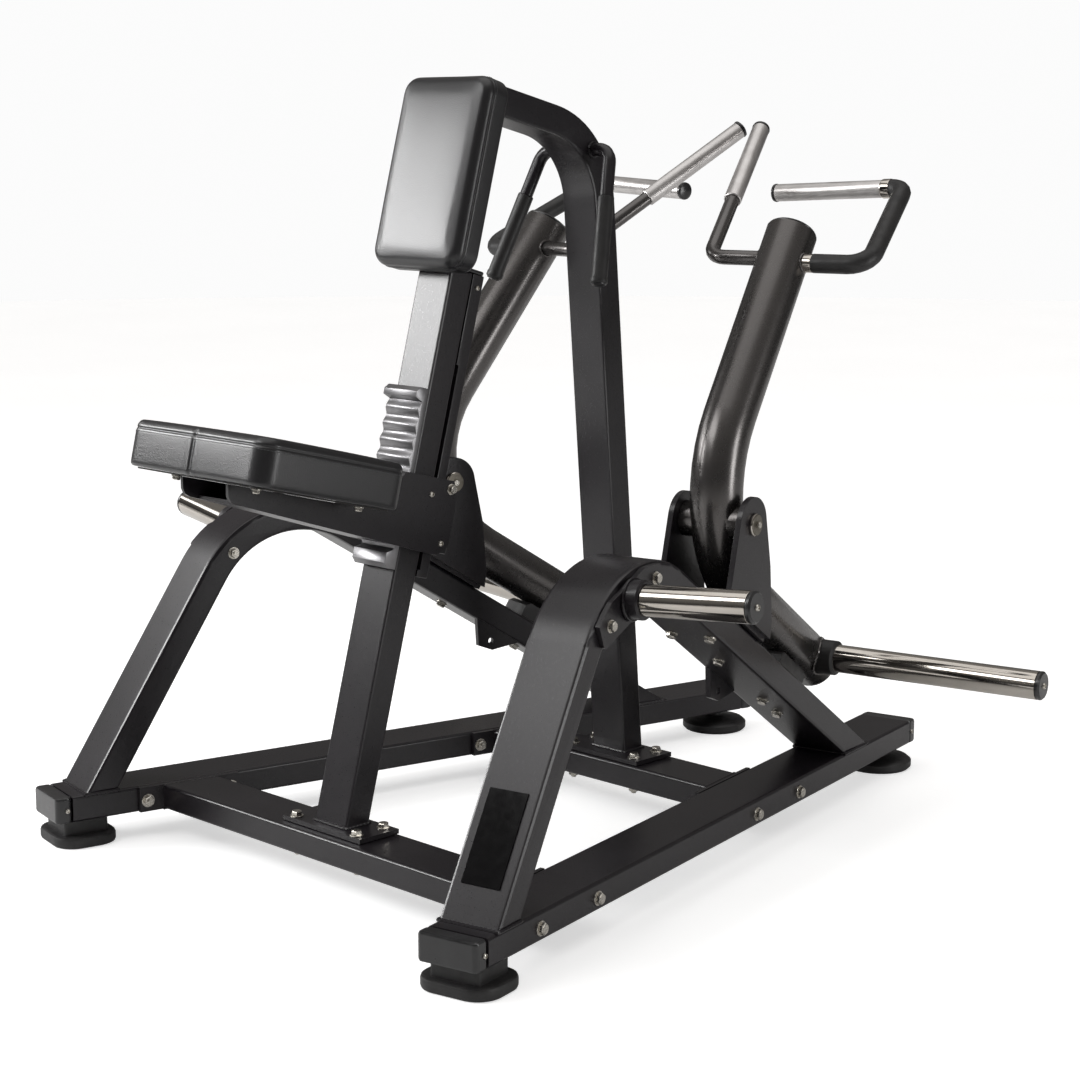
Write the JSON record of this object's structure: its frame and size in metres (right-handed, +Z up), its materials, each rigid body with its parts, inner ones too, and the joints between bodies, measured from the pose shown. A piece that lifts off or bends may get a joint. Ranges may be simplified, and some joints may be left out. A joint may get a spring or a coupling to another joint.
{
  "type": "plate loaded seated row machine",
  "caption": "Chest-supported seated row machine with splayed base rails, side arches, curved pivoting lever arms with chrome plate horns, handles, storage horns and a sliding seat.",
  "frame": {"origin": "on the floor, under the middle of the bounding box", "axes": "+X is the user's right, +Y points from the seat towards the plate horns, +Z is up"},
  "size_m": [1.458, 1.5402, 1.3081],
  "materials": {
    "frame": "satin charcoal powder coat",
    "lever": "glossy dark grey metallic enamel",
    "chrome": "mirror chrome",
    "aluminium": "brushed and anodised",
    "rubber": "matt moulded rubber",
    "plastic": "matt moulded plastic",
    "leather": "black leatherette with a fine grain, over foam",
    "board": "black painted plywood",
    "rack": "bright plated steel",
    "plate": "gloss black blank plate"
  },
  "bodies": {
    "base_frame": {"base_rail_right": "frame", "rail_front_cap_right": "plastic", "rail_rear_cap_right": "plastic", "front_foot_right": "rubber", "rear_foot_right": "rubber", "arch_tube_right": "frame", "name_plate": "plate", "storage_flange_right": "frame", "storage_horn_right": "chrome", "storage_horn_cap_right": "plastic", "pivot_bracket_right": "frame", "pivot_pin_right": "chrome", "stop_bumper_right": "rubber", "base_rail_left": "frame", "rail_front_cap_left": "plastic", "rail_rear_cap_left": "plastic", "front_foot_left": "rubber", "rear_foot_left": "rubber", "arch_tube_left": "frame", "storage_flange_left": "frame", "storage_horn_left": "chrome", "storage_horn_cap_left": "plastic", "pivot_bracket_left": "frame", "pivot_pin_left": "chrome", "stop_bumper_left": "rubber", "seat_post": "frame", "post_guide": "frame", "post_cap": "plastic", "ratchet_rack": "rack", "pad_plate": "frame", "chest_pad": "leather", "front_cross_member": "frame", "rear_cross_member": "frame", "upright_tube": "frame", "side_rod_right": "frame", "side_rod_left": "frame", "side_grip_right": "rubber", "side_grip_left": "rubber"},
    "right_lever_arm": {"lever_tube_right": "lever", "lever_top_cap_right": "plastic", "lever_bottom_cap_right": "plastic", "load_horn_right": "chrome", "load_horn_cap_right": "plastic", "inner_handle_right": "lever", "inner_grip_right": "aluminium", "outer_handle_right": "rubber", "outer_grip_right": "aluminium"},
    "left_lever_arm": {"lever_tube_left": "lever", "lever_top_cap_left": "plastic", "lever_bottom_cap_left": "plastic", "load_horn_left": "chrome", "load_horn_cap_left": "plastic", "inner_handle_left": "lever", "inner_grip_left": "aluminium", "outer_handle_left": "rubber", "outer_grip_left": "aluminium"},
    "seat_assembly": {"seat_cushion": "leather", "seat_board": "board", "seat_carriage": "frame", "carriage_glide": "plastic"}
  },
  "joints": [
    {"name": "right_arm_pivot", "type": "hinge", "parent": "base_frame", "child": "right_lever_arm", "pos_m": [0.3484, 0.0497, 0.579], "axis": [0.9781, 0.2079, 0], "range_deg": [0, 50]},
    {"name": "left_arm_pivot", "type": "hinge", "parent": "base_frame", "child": "left_lever_arm", "pos_m": [-0.3484, 0.0497, 0.579], "axis": [0.9781, -0.2079, 0], "range_deg": [0, 50]},
    {"name": "seat_slide", "type": "slide", "parent": "base_frame", "child": "seat_assembly", "axis": [0, 0.2622, 0.965], "range_m": [-0.02, 0.12]}
  ]
}
